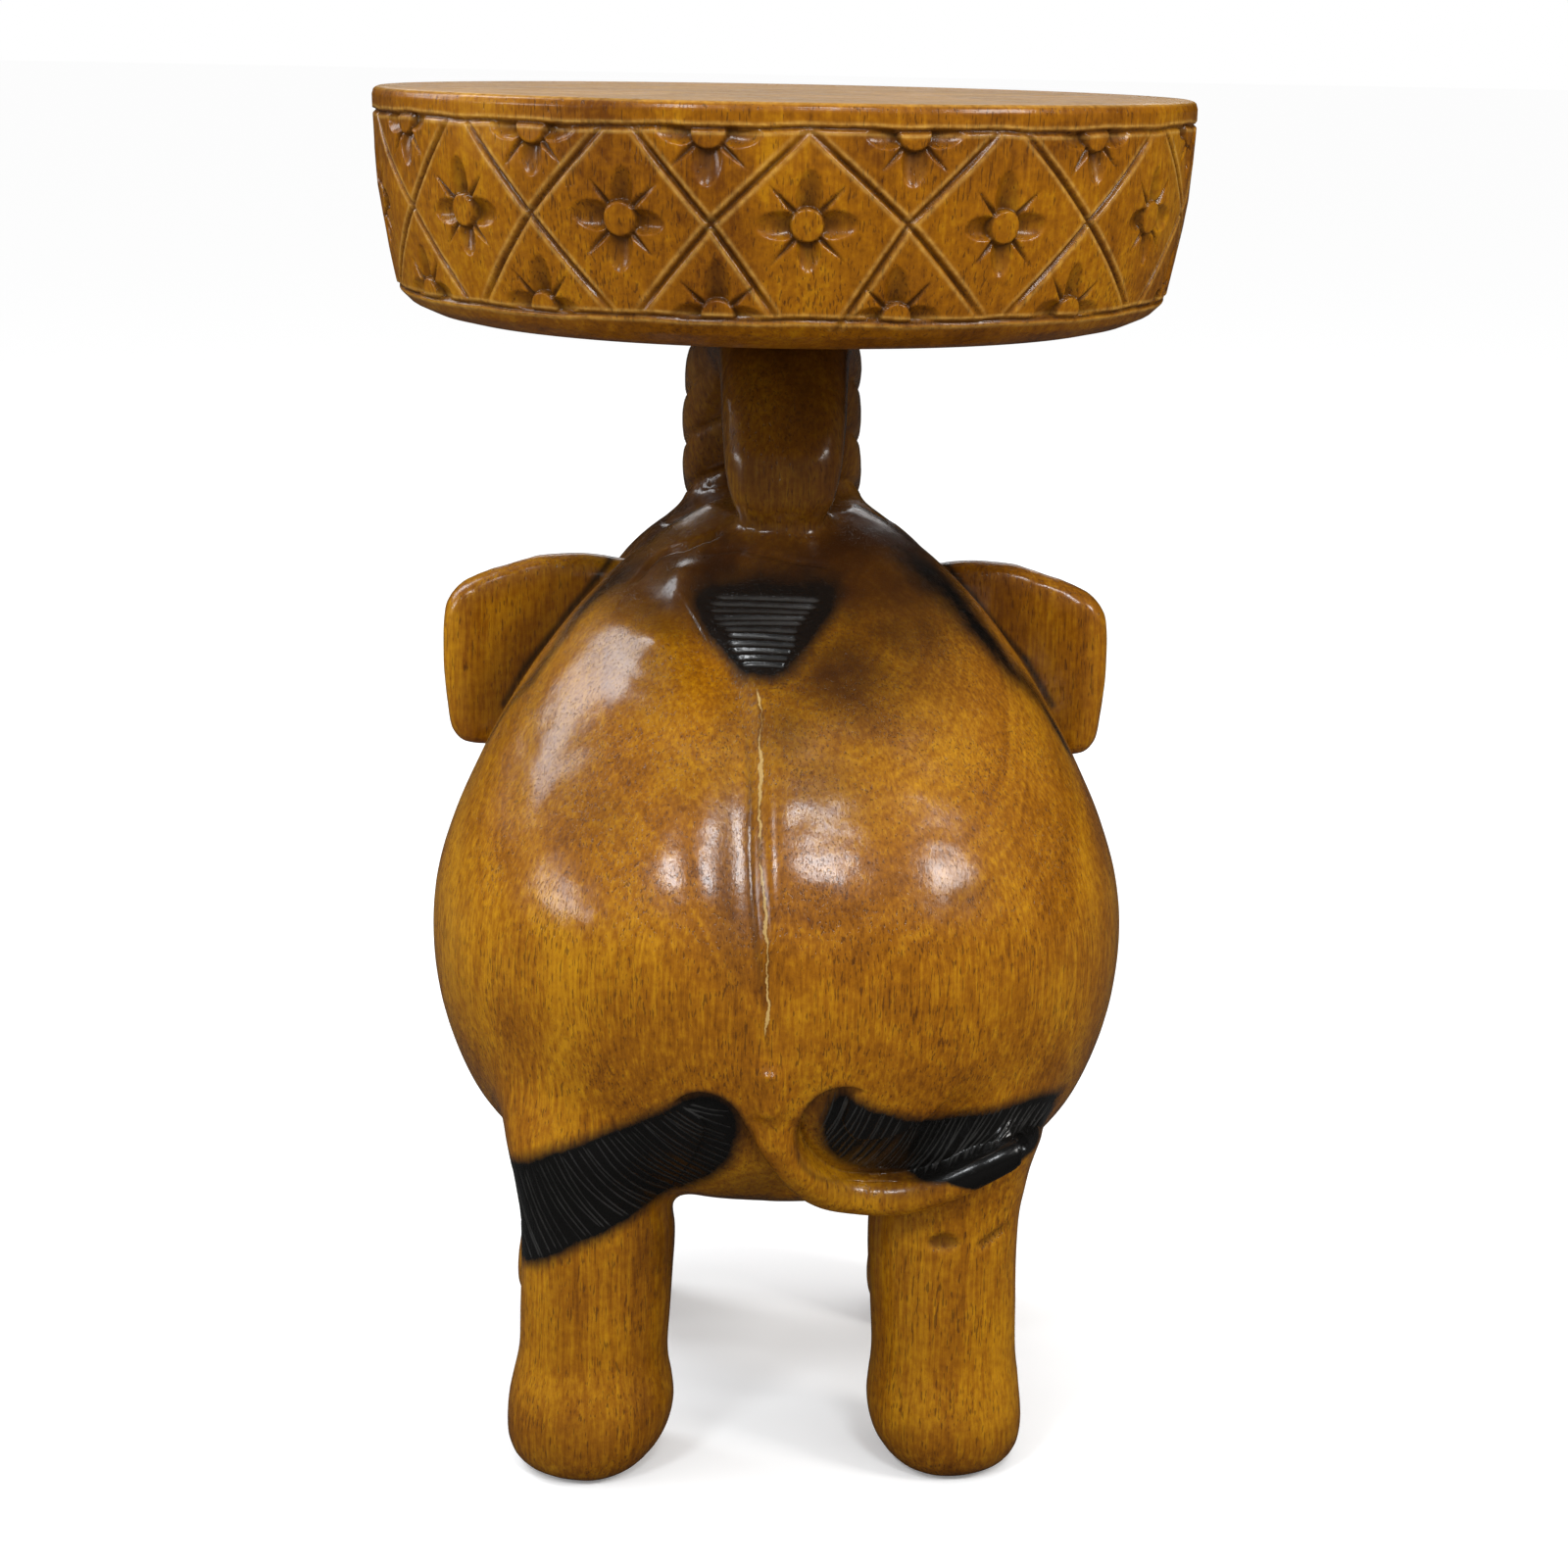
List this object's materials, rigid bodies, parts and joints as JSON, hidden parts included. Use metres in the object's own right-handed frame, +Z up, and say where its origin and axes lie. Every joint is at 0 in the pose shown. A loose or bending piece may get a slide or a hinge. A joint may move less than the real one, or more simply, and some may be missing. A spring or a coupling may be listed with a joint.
{
  "type": "stool",
  "caption": "Low wooden stool carved as a standing elephant whose raised trunk loops over and carries a thick round seat with a carved rim.",
  "frame": {"origin": "on the floor, under the middle of the seat", "axes": "+Z up, +Y the way the elephant faces, +X its right side"},
  "size_m": [0.3, 0.3, 0.5],
  "materials": {
    "carved_wood": "honey-coloured gloss lacquer with scorched black patches",
    "seat_wood": "honey-coloured gloss lacquer",
    "ear_wood": "honey-coloured gloss lacquer",
    "tusk_wood": "pale satin lacquer",
    "eye_bead": "gloss",
    "dowel_wood": "plain"
  },
  "bodies": {
    "root": {"elephant": "carved_wood", "seat": "seat_wood", "ear_right": "ear_wood", "ear_left": "ear_wood", "tusk_right": "tusk_wood", "tusk_left": "tusk_wood", "eye_right": "eye_bead", "eye_left": "eye_bead", "seat_dowel_front": "dowel_wood", "seat_dowel_rear": "dowel_wood"}
  },
  "joints": []
}
